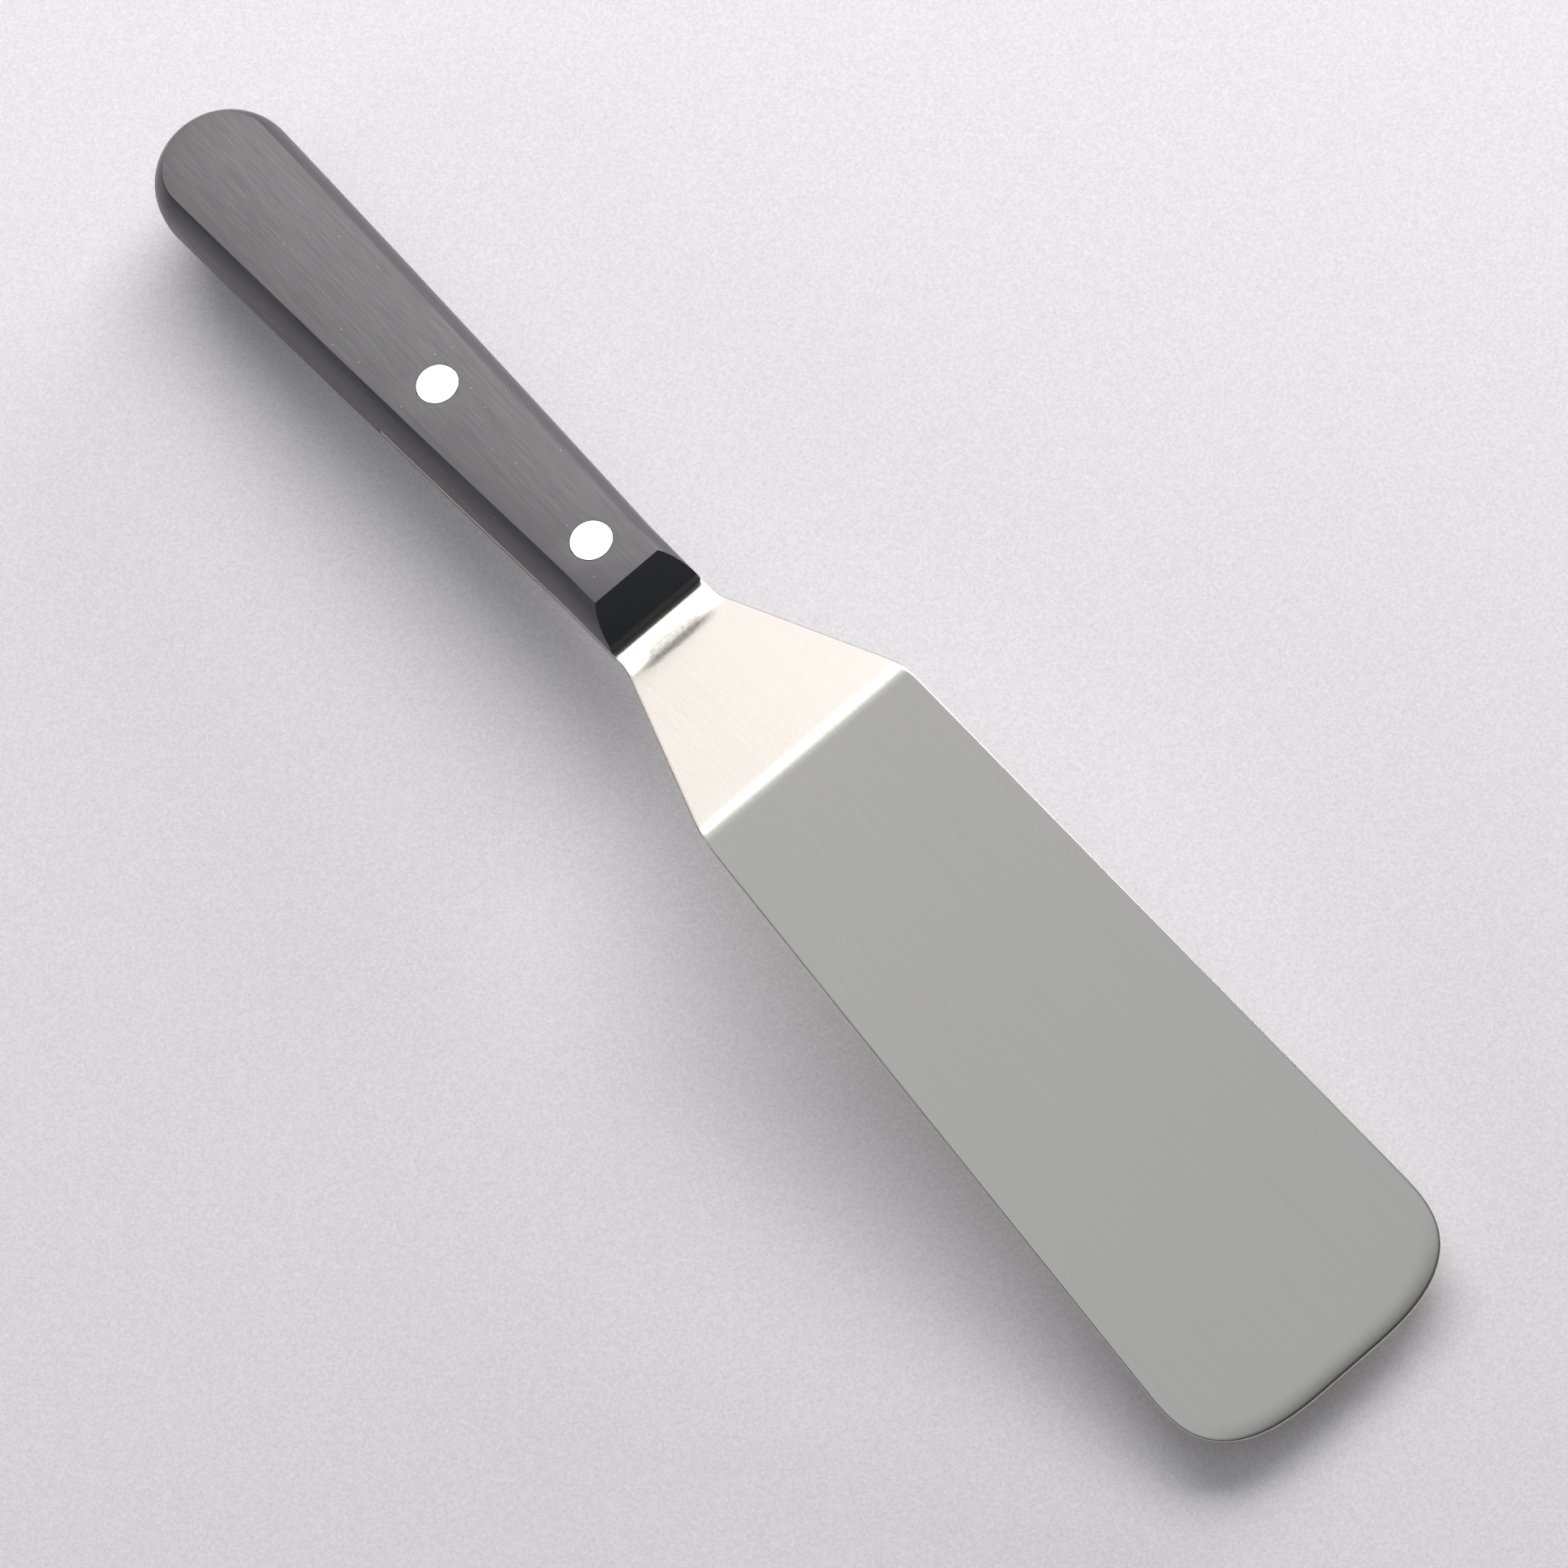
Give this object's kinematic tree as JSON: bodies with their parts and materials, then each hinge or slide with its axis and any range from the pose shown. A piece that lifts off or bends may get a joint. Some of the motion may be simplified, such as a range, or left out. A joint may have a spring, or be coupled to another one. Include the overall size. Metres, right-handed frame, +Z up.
{
  "type": "offset spatula",
  "caption": "Offset spatula with a broad round-cornered steel blade, a cranked flared neck and a slotted black handle held on the tang by flush cutler's rivets.",
  "frame": {"origin": "under the middle of the resting tool, on the plane it rests on: the butt of the handle and the front edge of the blade both touch z = 0", "axes": "+X runs along the tool from the handle's butt to the blade's tip, +Y across its width, +Z up away from the table, on the side that the two bends stand out to (the underside of the blade in use)"},
  "size_m": [0.2812, 0.051, 0.0314],
  "materials": {
    "blade_steel": "fine lengthwise satin grind, rolled bright at the front edge",
    "handle_plastic": "black moulded acetal, broad faces sanded lengthwise to a grey satin",
    "rivet_steel": "ground flush with the handle and buffed bright"
  },
  "bodies": {
    "root": {"blade": "blade_steel", "handle": "handle_plastic", "rivet_front_tube": "rivet_steel", "rivet_front_pin": "rivet_steel", "rivet_rear_tube": "rivet_steel", "rivet_rear_pin": "rivet_steel"}
  },
  "joints": []
}
